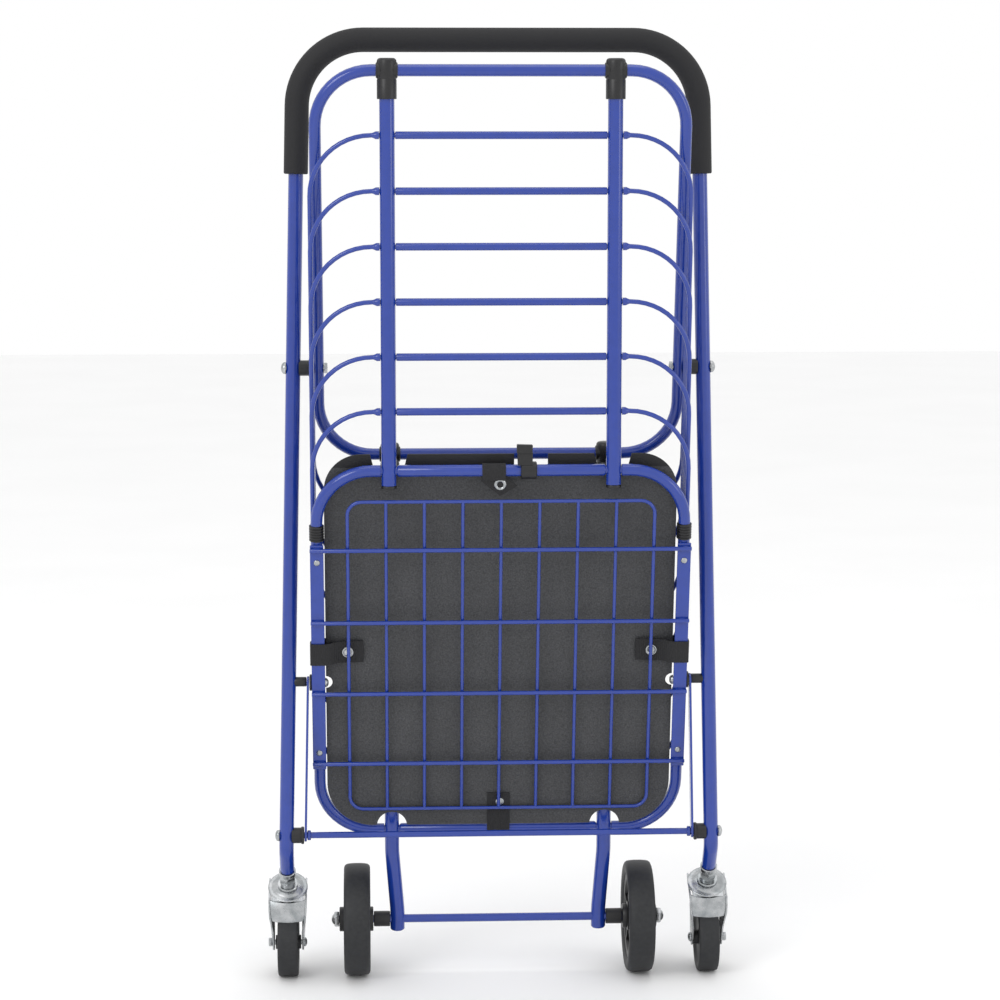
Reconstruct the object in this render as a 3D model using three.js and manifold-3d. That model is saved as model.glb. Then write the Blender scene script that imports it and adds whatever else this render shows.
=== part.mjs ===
import * as THREE from 'three';
import { mergeVertices } from 'three/addons/utils/BufferGeometryUtils.js';
import Module from 'manifold-3d';

// Folding four-wheel wire-basket cart, folded flat and standing on its wheels.
// Millimetres, +Z up, the front of the folded cart faces -Y, left is -X.
// Depths are measured from the rear uprights; the last step centres the cart.

// Layout of the folding basket
const TILT = 12; // degrees the folded trays lean from upright
const ARM = 422; // rear bar to front bar of every tray
const RIM_Z = 585; // rear pivot of the rim
const FLOOR_Z = 165; // rear pivot of the floor
const RING_STACK = [353, 295, 237, 179, 121, 63]; // ring pivots above the floor pivot
const DEPTH_SHIFT = 18; // brings the middle of the depth to Y = 0
const GAP = 0.3; // running clearance

// Tubes, rods and wires
const UPRIGHT_R = 8;
const REAR_X = 118;
const REAR_FOOT_X = 112.4; // the rear uprights bend inward below the floor
const FRONT_X = 119.5;
const FRAME_R = 6.35;
const RIM_HALF = 195;
const RIM_CORNER = 59;
const FLOOR_HALF = 197;
const RING_HALF = 201;
const RING_CORNER = 65;
const RING_R = 2.5;
const NECK_R = 4.5;
const AXLE_R = 4.6;

// Rear wheels
const WHEEL_R = 62;
const WHEEL_X = 157.2;
const TYRE_SEGMENTS = 48;

// Handle frame
const HANDLE_R = 8;
const GRIP_R = 13;
const GRIP_END_Z = 889;
const HANDLE_TOP_Z = 1031;
const HANDLE_CORNER = 71;
const HANDLE_BEND_Z = 152;
const HANDLE_END = { y: -20.4, z: 125.3 };
const RIM_PIVOT_S = 98.6; // along the rim from its rear bar
const LINK_PIVOT_S = 178.2; // along the floor from its rear bar
const CROSS_ROD = { y: -37.9, z: 168.7 };
const BOLT_R = 3;
const BOLT_HOLE_R = 3.4;
const CROSS_ROD_R = 3.5;
const CROSS_HOLE_R = 3.9;

// Casters
const CASTER_X = 234;
const CASTER_PLATE = { y: -5.3, z: 102.835 };
const CASTER_TILT = 34; // degrees the stem leans forward while the cart is folded
const CASTER_AXLE = { y: -34.7, z: -55.4 }; // from the plate, along the stem's own axes
const CASTER_R = 37.5;
const CASTER_SEGMENTS = 28;

// Liner board, in the floor's own plane
const BOARD_THICK = 1.6;
const BOARD_HALF = 189;
const BOARD_FROM = 12;
const BOARD_TO = 437;
const BOARD_SLOPE = 2.22; // degrees
const BOARD_REF = { s: 24, n: 5.1 };

// Floor grid
const CROSS_WIRES = [85.5, 169, 252.5, 336];
const CROSS_WIRE_N = 11.95;
const LONG_WIRE_N = 8.45;
const GRID_HALF = 164;
const GRID_FROM = 29;
const GRID_TO = 390;
const LONG_WIRES = 7;

// Webbing straps
const STRAP_WIDTH = 25;
const STRAP_THICK = 1;

const wasm = await Module();
wasm.setup();

const paint = new THREE.MeshStandardMaterial({ color: 0x2447b5, roughness: 0.3, metalness: 0.1 });
const zinc = new THREE.MeshStandardMaterial({ color: 0xb9bcc0, roughness: 0.35, metalness: 0.9 });
const plastic = new THREE.MeshStandardMaterial({ color: 0x17181a, roughness: 0.5, metalness: 0 });
const foam = new THREE.MeshStandardMaterial({ color: 0x121212, roughness: 0.95, metalness: 0 });
const rubber = new THREE.MeshStandardMaterial({ color: 0x1c1c1d, roughness: 0.8, metalness: 0 });
const board = new THREE.MeshStandardMaterial({ color: 0x474849, roughness: 0.85, metalness: 0 });
const webbing = new THREE.MeshStandardMaterial({ color: 0x141517, roughness: 0.9, metalness: 0 });

// Turns a closed three.js geometry into a solid for boolean work.
function toSolid(geometry) {
  const bare = geometry.clone();
  bare.deleteAttribute('normal');
  bare.deleteAttribute('uv');
  const merged = mergeVertices(bare, 1e-4);
  const index = merged.index.array;
  const kept = [];
  for (let i = 0; i < index.length; i += 3) {
    const [a, b, c] = [index[i], index[i + 1], index[i + 2]];
    if (a !== b && b !== c && c !== a) {
      kept.push(a, b, c);
    }
  }
  const vertProperties = Float32Array.from(merged.attributes.position.array);
  const triVerts = Uint32Array.from(kept);
  return new wasm.Manifold(new wasm.Mesh({ numProp: 3, vertProperties, triVerts }));
}

function toGeometry(solid) {
  const mesh = solid.getMesh();
  const geometry = new THREE.BufferGeometry();
  const positions = new Float32Array(mesh.vertProperties);
  geometry.setAttribute('position', new THREE.BufferAttribute(positions, 3));
  geometry.setIndex(new THREE.BufferAttribute(new Uint32Array(mesh.triVerts), 1));
  geometry.computeVertexNormals();
  return geometry;
}

// Profile points are [radius, distance along the axis], outside on the rising side.
function lathe(profile, sides, turn) {
  const points = profile.map(([radius, along]) => new THREE.Vector2(radius, along));
  return new THREE.LatheGeometry(points, sides, turn);
}

function turnedX(profile, sides, turn = 0) {
  return toSolid(lathe(profile, sides, turn).rotateZ(-Math.PI / 2));
}

function turnedZ(profile, sides, turn = 0) {
  return toSolid(lathe(profile, sides, turn).rotateX(Math.PI / 2));
}

function rodProfile(radius, from, to) {
  return [[0, from], [radius, from], [radius, to], [0, to]];
}

function sleeveProfile(outer, inner, from, to) {
  return [[inner, from], [outer, from], [outer, to], [inner, to], [inner, from]];
}

function rodX(radius, from, to, sides) {
  return turnedX(rodProfile(radius, from, to), sides);
}

function rodZ(radius, from, to, sides) {
  return turnedZ(rodProfile(radius, from, to), sides);
}

function join(solids) {
  return solids.reduce((whole, solid) => whole.add(solid));
}

// A path that is exactly its listed stations, so a straight run costs nothing.
class StationPath extends THREE.Curve {
  constructor(stations, closed) {
    super();
    this.stations = stations;
    this.steps = closed ? stations.length : stations.length - 1;
  }

  stationAt(u) {
    return this.stations[Math.round(u * this.steps) % this.stations.length];
  }

  getPoint(t) {
    return this.stationAt(t).point.clone();
  }

  getPointAt(u) {
    return this.getPoint(u);
  }

  getTangent(t) {
    return this.stationAt(t).tangent.clone();
  }

  getTangentAt(u) {
    return this.getTangent(u);
  }
}

// Stations along straight runs between corners, each corner rounded to its radius.
function roundedStations(corners, arcSteps, closed) {
  const count = corners.length;
  const stations = [];
  corners.forEach(({ at, radius }, i) => {
    const into = at.clone().sub(corners[(i + count - 1) % count].at).normalize();
    const out = corners[(i + 1) % count].at.clone().sub(at).normalize();
    if (!closed && i === 0) {
      stations.push({ point: at, tangent: out });
      return;
    }
    if (!closed && i === count - 1) {
      stations.push({ point: at, tangent: into });
      return;
    }
    const bend = into.angleTo(out);
    const inward = out.clone().addScaledVector(into, -into.dot(out)).normalize();
    const centre = at.clone().addScaledVector(into, -radius * Math.tan(bend / 2));
    centre.addScaledVector(inward, radius);
    for (let k = 0; k <= arcSteps; k += 1) {
      const angle = (bend * k) / arcSteps;
      const point = centre.clone();
      point.addScaledVector(inward, -radius * Math.cos(angle));
      point.addScaledVector(into, radius * Math.sin(angle));
      const tangent = into.clone().multiplyScalar(Math.cos(angle));
      tangent.addScaledVector(inward, Math.sin(angle));
      stations.push({ point, tangent });
    }
  });
  return stations;
}

function circlePoints(radius, sides) {
  const points = [];
  for (let i = 0; i < sides; i += 1) {
    const angle = (2 * Math.PI * i) / sides;
    points.push(new THREE.Vector2(radius * Math.cos(angle), radius * Math.sin(angle)));
  }
  return points;
}

// A bent tube or bar with open ends, following its stations.
function bentTube(stations, section) {
  const path = new StationPath(stations, false);
  const options = { steps: stations.length - 1, extrudePath: path, bevelEnabled: false };
  return toSolid(new THREE.ExtrudeGeometry(section, options));
}

// A closed loop of round bar in a tray's own plane: X across, Z along the tray.
function trayLoop(half, from, to, corner, radius, arcSteps, sides) {
  const corners = [[-half, from], [half, from], [half, to], [-half, to]].map(([x, z]) => ({
    at: new THREE.Vector3(x, 0, z),
    radius: corner,
  }));
  const stations = roundedStations(corners, arcSteps, true);
  const path = new StationPath(stations, true);
  return toSolid(new THREE.TubeGeometry(path, stations.length, radius, sides, true));
}

// A flat shape drawn in a tray's plane, thick from n0 to n1 toward the tray's underside.
function trayPlate(shape, n0, n1) {
  const geometry = new THREE.ExtrudeGeometry(shape, { depth: n1 - n0, bevelEnabled: false });
  return toSolid(geometry.rotateX(Math.PI / 2).translate(0, -n0, 0));
}

// Folded trays lean back from their rear pivot by the tilt.
function lean(solid, pivotZ) {
  return solid.rotate([TILT, 0, 0]).translate([0, 0, pivotZ]);
}

function onTray(s, pivotZ) {
  const angle = THREE.MathUtils.degToRad(TILT);
  return { y: -s * Math.sin(angle), z: pivotZ + s * Math.cos(angle) };
}

const RIM_FRONT = onTray(ARM, RIM_Z);
const FLOOR_FRONT = onTray(ARM, FLOOR_Z);
const RIM_PIVOT = onTray(RIM_PIVOT_S, RIM_Z);
const LINK_PIVOT = onTray(LINK_PIVOT_S, FLOOR_Z);

// Rear frame

function rearUpright() {
  const corners = [
    { at: new THREE.Vector3(REAR_FOOT_X, 0, 49) },
    { at: new THREE.Vector3(REAR_FOOT_X, 0, 72), radius: 120 },
    { at: new THREE.Vector3(REAR_X, 0, 140), radius: 120 },
    { at: new THREE.Vector3(REAR_X, 0, 576) },
  ];
  const section = new THREE.Shape(circlePoints(UPRIGHT_R, 12));
  let tube = bentTube(roundedStations(corners, 2, false), section);
  for (const height of RING_STACK) {
    tube = tube.subtract(rodX(2.9, 100, 140, 10).translate([0, 0, FLOOR_Z + height]));
  }
  tube = tube.subtract(rodX(4.9, 100, 140, 16).translate([0, 0, FLOOR_Z]));
  return tube.subtract(rodX(5, 100, 140, 16).translate([0, 0, WHEEL_R]));
}

// Moulded cap over an upright's end, with a cross bore that holds a rim bar.
function rimCap(x, y, z) {
  const profile = [[0, -29.7], [10.35, -29.7], [10.35, 10.7], [8.6, 12.7], [0, 12.7]];
  const socket = rodZ(8.35, -31, -8.5, 12);
  const bore = rodX(6.8, -20, 20, 16);
  return turnedZ(profile, 16).subtract(socket).subtract(bore).translate([x, y, z]);
}

function wheelSpacer() {
  return turnedX(sleeveProfile(9, 5, 120.9, 139), 20).translate([0, 0, WHEEL_R]);
}

function axleNut() {
  const nut = rodX(8.5, 177.4, 182.5, 6).subtract(rodX(5, 170, 190, 16));
  return nut.translate([0, 0, WHEEL_R]);
}

// The lowest facet is flat on the ground.
function rearTyre() {
  const section = [
    [47, -12], [52, -14.5], [58, -14.5], [62, -9],
    [62, 9], [58, 14.5], [52, 14.5], [47, 12], [47, -12],
  ];
  const scale = 1 / Math.cos(Math.PI / TYRE_SEGMENTS);
  const profile = section.map(([radius, x]) => [radius * scale, WHEEL_X + x]);
  return turnedX(profile, TYRE_SEGMENTS, Math.PI / TYRE_SEGMENTS).translate([0, 0, WHEEL_R]);
}

function rearHub() {
  const profile = [
    [5, 139.3], [13, 139.3], [13, 150], [40, 151.5], [43, 145.5], [46.7, 145.5],
    [46.7, 169], [43, 169], [40, 163], [13, 164.5], [13, 177], [5, 177], [5, 139.3],
  ];
  return turnedX(profile, 20).translate([0, 0, WHEEL_R]);
}

// Trays

function rimLoop() {
  const hole = rodX(BOLT_HOLE_R, 180, 210, 12).translate([0, 0, RIM_PIVOT_S]);
  const loop = trayLoop(RIM_HALF, 0, ARM, RIM_CORNER, FRAME_R, 4, 12);
  return lean(loop.subtract(hole).subtract(hole.mirror([1, 0, 0])), RIM_Z);
}

function ring(height) {
  const loop = trayLoop(RING_HALF, 0, ARM, RING_CORNER, RING_R, 4, 6);
  const sleeve = rodX(4.1, -111, 111, 8).translate([0, 0, ARM]);
  const collar = rodX(4.2, 128, 133, 8).translate([0, 0, ARM]);
  return lean(join([loop, sleeve, collar, collar.mirror([1, 0, 0])]), FLOOR_Z + height);
}

function floorLoop() {
  let loop = trayLoop(FLOOR_HALF, 0, ARM, RIM_CORNER, FRAME_R, 4, 12);
  const cuts = [
    turnedX(sleeveProfile(9, NECK_R, REAR_X - 9.5, REAR_X + 9.5), 12),
    turnedX(sleeveProfile(9, NECK_R, FRONT_X - 9.5, FRONT_X + 9.5), 12).translate([0, 0, ARM]),
    rodX(BOLT_HOLE_R, 180, 215, 12).translate([0, 0, LINK_PIVOT_S]),
  ];
  for (const cut of cuts) {
    loop = loop.subtract(cut).subtract(cut.mirror([1, 0, 0]));
  }
  return lean(loop, FLOOR_Z);
}

function rectangle(x0, x1, s0, s1) {
  return new THREE.Shape([
    new THREE.Vector2(x0, s0),
    new THREE.Vector2(x1, s0),
    new THREE.Vector2(x1, s1),
    new THREE.Vector2(x0, s1),
  ]);
}

function roundSpot(x, s, radius, sides) {
  const spot = new THREE.Vector2(x, s);
  return new THREE.Shape(circlePoints(radius, sides).map((point) => point.add(spot)));
}

// Flat bar that carries the grid, with its two rivet heads.
function sideBar() {
  const bar = trayPlate(rectangle(189.75, 204.25, 78, 341), FRAME_R + GAP, 9.35);
  const rivets = [98, 321.5].map((s) => trayPlate(roundSpot(FLOOR_HALF, s, 3.3, 12), 9, 10.8));
  return lean(join([bar, ...rivets]), FLOOR_Z);
}

function floorGrid() {
  const frame = trayLoop(GRID_HALF, GRID_FROM, GRID_TO, 15, 1.9, 3, 6);
  const wires = [frame.translate([0, -LONG_WIRE_N, 0])];
  const pitch = (2 * GRID_HALF) / (LONG_WIRES + 1);
  for (let i = 1; i <= LONG_WIRES; i += 1) {
    const wire = rodZ(1.8, GRID_FROM, GRID_TO, 6);
    wires.push(wire.translate([i * pitch - GRID_HALF, -LONG_WIRE_N, 0]));
  }
  for (const s of CROSS_WIRES) {
    wires.push(rodX(2.3, -204.5, 204.5, 6).translate([0, -CROSS_WIRE_N, s]));
  }
  return lean(join(wires), FLOOR_Z);
}

// Outline of the liner board; the far corners are tighter than the near ones.
function boardShape() {
  const near = 50;
  const far = 40;
  const shape = new THREE.Shape();
  const half = BOARD_HALF;
  shape.absarc(half - near, BOARD_FROM + near, near, -Math.PI / 2, 0);
  shape.absarc(half - far, BOARD_TO - far, far, 0, Math.PI / 2);
  shape.absarc(far - half, BOARD_TO - far, far, Math.PI / 2, Math.PI);
  shape.absarc(near - half, BOARD_FROM + near, near, Math.PI, 1.5 * Math.PI);
  return new THREE.Shape(shape.getPoints(6));
}

// The board clears the uprights, the link pivots' heads and the fold clip.
function linerBoard() {
  let plate = trayPlate(boardShape(), -BOARD_THICK, 0);
  const notches = [
    roundSpot(REAR_X, 7, 16.5, 20),
    new THREE.Shape([[-14, 413], [14, 413], [21, 441], [-21, 441]].map(
      ([x, z]) => new THREE.Vector2(FRONT_X + x, z),
    )),
    roundSpot(BOARD_HALF, LINK_PIVOT_S, 7, 12),
  ];
  for (const notch of notches) {
    const cut = trayPlate(notch, -5, 5);
    plate = plate.subtract(cut).subtract(cut.mirror([1, 0, 0]));
  }
  plate = plate.subtract(trayPlate(rectangle(14, 50, 424, 450), -5, 5));
  plate = plate.translate([0, 0, -BOARD_REF.s]).rotate([-BOARD_SLOPE, 0, 0]);
  return lean(plate.translate([0, -BOARD_REF.n, BOARD_REF.s]), FLOOR_Z);
}

// Outline of a thin band that follows a centre line of [u, v] points.
function bandShape(line, thickness) {
  const points = line.map(([u, v]) => new THREE.Vector2(u, v));
  const last = points.length - 1;
  const offset = (sign) => points.map((point, i) => {
    const along = points[Math.min(i + 1, last)].clone().sub(points[Math.max(i - 1, 0)]).normalize();
    return new THREE.Vector2(-along.y, along.x).multiplyScalar((sign * thickness) / 2).add(point);
  });
  return new THREE.Shape([...offset(-1), ...offset(1).reverse()]);
}

function arcLine(u, v, radius, from, to, steps) {
  const line = [];
  for (let i = 0; i <= steps; i += 1) {
    const angle = THREE.MathUtils.degToRad(from + ((to - from) * i) / steps);
    line.push([u + radius * Math.cos(angle), v + radius * Math.sin(angle)]);
  }
  return line;
}

const WRAP_R = FRAME_R + GAP + STRAP_THICK / 2;

// A strap round the front or rear bar; the line is drawn in [depth, along the tray].
function barStrap(line, x) {
  const shape = bandShape(line, STRAP_THICK);
  const geometry = new THREE.ExtrudeGeometry(shape, { depth: STRAP_WIDTH, bevelEnabled: false });
  const turn = new THREE.Matrix4().makeBasis(
    new THREE.Vector3(0, 1, 0),
    new THREE.Vector3(0, 0, 1),
    new THREE.Vector3(1, 0, 0),
  );
  return toSolid(geometry.applyMatrix4(turn)).translate([x - STRAP_WIDTH / 2, 0, 0]);
}

function frontStrap() {
  const wrap = arcLine(0, ARM, WRAP_R, 0, 180, 8);
  const line = [[7.15, ARM - 9], ...wrap, [-6.6, ARM - 10], [-3.4, ARM - 26]];
  const stud = trayPlate(roundSpot(-8, ARM - 11, 6.2, 16), 6.3, 8.4);
  return lean(barStrap(line, -8).add(stud), FLOOR_Z);
}

function rearStrap() {
  const line = [[7.15, 8], ...arcLine(0, 0, WRAP_R, 0, -180, 8), [-6.5, 12], [-5.73, 27], [-5.5, 46]];
  return lean(barStrap(line, 0), FLOOR_Z);
}

function sideStrap() {
  const line = [
    [186, 7.15],
    ...arcLine(FLOOR_HALF, 0, WRAP_R, 90, 20, 4),
    [205.1, -3],
    [205.1, -9.7],
    [204.3, -10.4],
    [189, -10.4],
    [184, -8.5],
    [176, -3],
    [148, -0.8],
  ];
  const shape = bandShape(line, STRAP_THICK);
  const band = new THREE.ExtrudeGeometry(shape, { depth: STRAP_WIDTH, bevelEnabled: false });
  const stud = trayPlate(roundSpot(165, 215, 6.2, 16), 1.9, 4);
  return lean(toSolid(band).translate([0, 0, 215 - STRAP_WIDTH / 2]).add(stud), FLOOR_Z);
}

// Ribbed cushion on the side tube, where the cross rod comes to rest when the cart is open.
function ribbedSleeve() {
  const profile = [
    [6.65, 344], [8, 344], [8, 349], [7.3, 350], [8, 351], [8, 354],
    [7.3, 355], [8, 356], [8, 361], [6.65, 361], [6.65, 344],
  ];
  return lean(turnedZ(profile, 12).translate([FLOOR_HALF, 0, 0]), FLOOR_Z);
}

// Bolt through the floor's side tube with a bush that the link turns against.
function linkPivot() {
  const profile = [
    [0, 186], [3.5, 186.2], [5, 188], [5, 190.3], [BOLT_R, 190.3], [BOLT_R, 203.7],
    [6, 203.7], [6, 204.6], [9, 204.6], [9, 206.9], [0, 206.9],
  ];
  return lean(turnedX(profile, 16).translate([0, 0, LINK_PIVOT_S]), FLOOR_Z);
}

// Clip that turns on the floor's front bar.
function foldClip() {
  const collar = turnedX(sleeveProfile(10, 6.8, 18, 36), 20);
  const tab = trayPlate(rectangle(20, 34, 7.5, 26), 1, 6);
  return collar.add(tab).translate([0, FLOOR_FRONT.y, FLOOR_FRONT.z]);
}

// Front panel

function frontUpright() {
  let tube = rodZ(UPRIGHT_R, 562, 989, 12).translate([FRONT_X, FLOOR_FRONT.y, 0]);
  for (const height of RING_STACK) {
    const hole = rodX(2.9, 100, 140, 10).translate([0, FLOOR_FRONT.y, FLOOR_FRONT.z + height]);
    tube = tube.subtract(hole);
  }
  return tube.subtract(rodX(4.9, 100, 140, 16).translate([0, FLOOR_FRONT.y, FLOOR_FRONT.z]));
}

// Handle frame

function legX(z) {
  return 217.6 + (862 - z) * 0.02308;
}

function legY(z) {
  return RIM_PIVOT.y + (z - RIM_PIVOT.z) * 0.03394;
}

function handleCorner(side, z, radius) {
  return { at: new THREE.Vector3(side * legX(z), legY(z), z), radius };
}

function handleTube(radius) {
  const end = (side) => ({ at: new THREE.Vector3(side * CASTER_X, HANDLE_END.y, HANDLE_END.z) });
  const corners = [
    end(-1),
    handleCorner(-1, HANDLE_BEND_Z, 22),
    handleCorner(-1, HANDLE_TOP_Z, HANDLE_CORNER),
    handleCorner(1, HANDLE_TOP_Z, HANDLE_CORNER),
    handleCorner(1, HANDLE_BEND_Z, 22),
    end(1),
  ];
  return bentTube(roundedStations(corners, 5, false), new THREE.Shape(circlePoints(radius, 12)));
}

function drilledHandleTube() {
  let tube = handleTube(HANDLE_R);
  const cuts = [
    rodX(BOLT_HOLE_R, 205, 240, 12).translate([0, RIM_PIVOT.y, RIM_PIVOT.z]),
    rodX(CROSS_HOLE_R, 215, 250, 12).translate([0, CROSS_ROD.y, CROSS_ROD.z]),
    onCaster(rodZ(5.8, 15, 46, 12)),
  ];
  for (const cut of cuts) {
    tube = tube.subtract(cut).subtract(cut.mirror([1, 0, 0]));
  }
  return tube;
}

function foamGrip() {
  const corners = [
    handleCorner(-1, GRIP_END_Z),
    handleCorner(-1, HANDLE_TOP_Z, HANDLE_CORNER),
    handleCorner(1, HANDLE_TOP_Z, HANDLE_CORNER),
    handleCorner(1, GRIP_END_Z),
  ];
  const section = new THREE.Shape(circlePoints(GRIP_R, 12));
  section.holes.push(new THREE.Path(circlePoints(8.6, 12).reverse()));
  return bentTube(roundedStations(corners, 5, false), section);
}

// Spacers and bumpers are cut to sit against the leg.
function againstLeg(solid, y, z) {
  return solid.translate([0, y, z]).subtract(handleTube(HANDLE_R + GAP));
}

function rimSpacer() {
  const sleeve = turnedX(sleeveProfile(9.5, BOLT_HOLE_R, 201.7, 216), 16);
  return againstLeg(sleeve, RIM_PIVOT.y, RIM_PIVOT.z);
}

function rimBolt() {
  const profile = [
    [0, 184.9], [5.5, 184.9], [5.5, 188.3], [BOLT_R, 188.3], [BOLT_R, 230.1],
    [6.5, 230.1], [6.5, 231.6], [4.6, 234.4], [0, 235.6],
  ];
  return turnedX(profile, 12).translate([0, RIM_PIVOT.y, RIM_PIVOT.z]);
}

function lowerSpacer() {
  const sleeve = turnedX(sleeveProfile(9, CROSS_HOLE_R, 214.5, 228), 16);
  return againstLeg(sleeve, CROSS_ROD.y, CROSS_ROD.z);
}

// Rod between the legs, with the collars and end heads that keep the links in place.
function crossRod() {
  const r = CROSS_ROD_R;
  const half = [[r, 207], [5.6, 207], [5.6, 210.9], [r, 210.9], [r, 242], [6, 242], [6, 244.5], [0, 246]];
  const other = half.map(([radius, x]) => [radius, -x]).reverse();
  return turnedX([...other, ...half], 12).translate([0, CROSS_ROD.y, CROSS_ROD.z]);
}

function bumper() {
  return againstLeg(rodX(5.3, 210.3, 224, 16), legY(LINK_PIVOT.z), LINK_PIVOT.z);
}

// Flat link from the cross rod up to the floor's side pivot.
function link() {
  const low = new THREE.Vector3(212.6, CROSS_ROD.y, CROSS_ROD.z);
  const high = new THREE.Vector3(208.65, LINK_PIVOT.y, LINK_PIVOT.z);
  const along = high.clone().sub(low);
  const length = along.length();
  along.normalize();
  const shape = new THREE.Shape();
  shape.absarc(0, 0, 7, Math.PI / 2, 1.5 * Math.PI);
  shape.absarc(length, 0, 7, -Math.PI / 2, Math.PI / 2);
  const outline = new THREE.Shape(shape.getPoints(8));
  const flat = new THREE.ExtrudeGeometry(outline, { depth: 2.5, bevelEnabled: false });
  flat.translate(0, 0, -1.25);
  const normal = new THREE.Vector3(1, 0, 0).addScaledVector(along, -along.x).normalize();
  const across = normal.clone().cross(along);
  flat.applyMatrix4(new THREE.Matrix4().makeBasis(along, across, normal).setPosition(low));
  const hole = rodX(CROSS_HOLE_R, 205, 220, 16).translate([0, CROSS_ROD.y, CROSS_ROD.z]);
  return toSolid(flat).subtract(hole);
}

// Casters

function onCaster(solid) {
  return solid.rotate([CASTER_TILT, 0, 0]).translate([CASTER_X, CASTER_PLATE.y, CASTER_PLATE.z]);
}

function casterAxleWorld() {
  const angle = THREE.MathUtils.degToRad(CASTER_TILT);
  const { y, z } = CASTER_AXLE;
  return {
    y: CASTER_PLATE.y + y * Math.cos(angle) - z * Math.sin(angle),
    z: CASTER_PLATE.z + y * Math.sin(angle) + z * Math.cos(angle),
  };
}

// Stem pressed into the leg's end, riveted over below the fork's plate.
function casterStem() {
  const head = [[0, -8], [7.5, -8], [7.5, -5.4], [4.9, -5.4], [4.9, 0.8], [10, 0.8], [10, 3.4]];
  const stud = [[6.5, 3.4], [6.5, 16], [9, 16], [9, 26.4], [5.5, 26.4], [5.5, 45], [0, 45]];
  return onCaster(turnedZ([...head, ...stud], 12));
}

// A shape drawn in the caster's side plane, thick from x0 to x1.
function casterPlate(points, x0, x1) {
  const shape = new THREE.Shape(points.map(([y, z]) => new THREE.Vector2(y, z)));
  const geometry = new THREE.ExtrudeGeometry(shape, { depth: x1 - x0, bevelEnabled: false });
  const turn = new THREE.Matrix4().makeBasis(
    new THREE.Vector3(0, 1, 0),
    new THREE.Vector3(0, 0, 1),
    new THREE.Vector3(1, 0, 0),
  );
  return toSolid(geometry.applyMatrix4(turn)).translate([x0, 0, 0]);
}

function casterFork() {
  const { y, z } = CASTER_AXLE;
  const foot = arcLine(y, z, 9, 190, 330, 6);
  const cheek = [[15, -2], [-21, -2], [-36, -13], [-37.5, -17], ...foot, [14, -14]];
  const hood = [[-20, -2], [-20, -4.2], [-34.6, -14.9], [-37.5, -17], [-36, -13], [-21, -2]];
  const disc = turnedZ([[0, -4], [21, -4], [22, -2.6], [22, -1.6], [12, 0.4], [0, 0.4]], 20);
  const web = casterPlate([[15, -2], [15, -5], [-21, -5], [-21, -2]], -17.3, 17.3);
  const whole = join([
    disc,
    web,
    casterPlate(hood, -17.3, 17.3),
    casterPlate(cheek, 15.3, 17.3),
    casterPlate(cheek, -17.3, -15.3),
  ]);
  const axleHole = rodX(BOLT_HOLE_R, -30, 30, 12).translate([0, y, z]);
  return onCaster(whole.subtract(rodZ(5.3, -10, 10, 16)).subtract(axleHole));
}

function casterWheel() {
  const section = [
    [BOLT_HOLE_R, -14], [7.8, -14], [8.5, -8], [28, -8], [31, -11.25], [35, -11.25],
    [37.5, -8], [37.5, 8], [35, 11.25], [31, 11.25], [28, 8], [8.5, 8], [7.8, 14],
    [BOLT_HOLE_R, 14], [BOLT_HOLE_R, -14],
  ];
  const scale = 1 / Math.cos(Math.PI / CASTER_SEGMENTS);
  const profile = section.map(([radius, x]) => [radius > 30 ? radius * scale : radius, x]);
  const { y, z } = casterAxleWorld();
  return turnedX(profile, CASTER_SEGMENTS, Math.PI / CASTER_SEGMENTS).translate([CASTER_X, y, z]);
}

function casterAxle() {
  const profile = [
    [0, -20.5], [4.75, -20.5], [4.75, -17.6], [BOLT_R, -17.6],
    [BOLT_R, 17.6], [4.75, 17.6], [4.75, 23], [0, 23],
  ];
  const { y, z } = casterAxleWorld();
  return turnedX(profile, 12).translate([CASTER_X, y, z]);
}

// Assembly

const group = new THREE.Group();
group.name = 'folding_basket_cart';

function place(name, solid, material) {
  const mesh = new THREE.Mesh(toGeometry(solid.translate([0, DEPTH_SHIFT, 0])), material);
  mesh.name = name;
  group.add(mesh);
}

function placePair(name, solid, material) {
  place(`${name}_left`, solid.mirror([1, 0, 0]), material);
  place(`${name}_right`, solid, material);
}

placePair('rear_upright', rearUpright(), paint);
placePair('rear_cap', rimCap(REAR_X, 0, RIM_Z), plastic);
place('rear_axle', rodX(AXLE_R, -184, 184, 16).translate([0, 0, WHEEL_R]), paint);
placePair('wheel_spacer', wheelSpacer(), plastic);
placePair('axle_nut', axleNut(), zinc);
placePair('rear_tyre', rearTyre(), rubber);
placePair('rear_hub', rearHub(), plastic);

place('rim_loop', rimLoop(), paint);
placePair('front_upright', frontUpright(), paint);
placePair('front_cap', rimCap(FRONT_X, RIM_FRONT.y, RIM_FRONT.z), plastic);
RING_STACK.forEach((height, i) => place(`ring_${i + 1}`, ring(height), paint));

place('floor_loop', floorLoop(), paint);
placePair('side_bar', sideBar(), paint);
place('floor_grid', floorGrid(), paint);
place('liner_board', linerBoard(), board);
place('strap_front', frontStrap(), webbing);
place('strap_rear', rearStrap(), webbing);
placePair('strap', sideStrap(), webbing);
placePair('ribbed_sleeve', ribbedSleeve(), plastic);
placePair('link_pivot', linkPivot(), plastic);
place('fold_clip', foldClip(), plastic);

place('handle_tube', drilledHandleTube(), paint);
place('foam_grip', foamGrip(), foam);
placePair('rim_spacer', rimSpacer(), plastic);
placePair('rim_bolt', rimBolt(), zinc);
placePair('lower_spacer', lowerSpacer(), plastic);
place('cross_rod', crossRod(), paint);
placePair('bumper', bumper(), plastic);
placePair('link', link(), paint);

placePair('caster_stem', casterStem(), zinc);
placePair('caster_fork', casterFork(), zinc);
placePair('caster_wheel', casterWheel(), rubber);
placePair('caster_axle', casterAxle(), zinc);

export default group;
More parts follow.
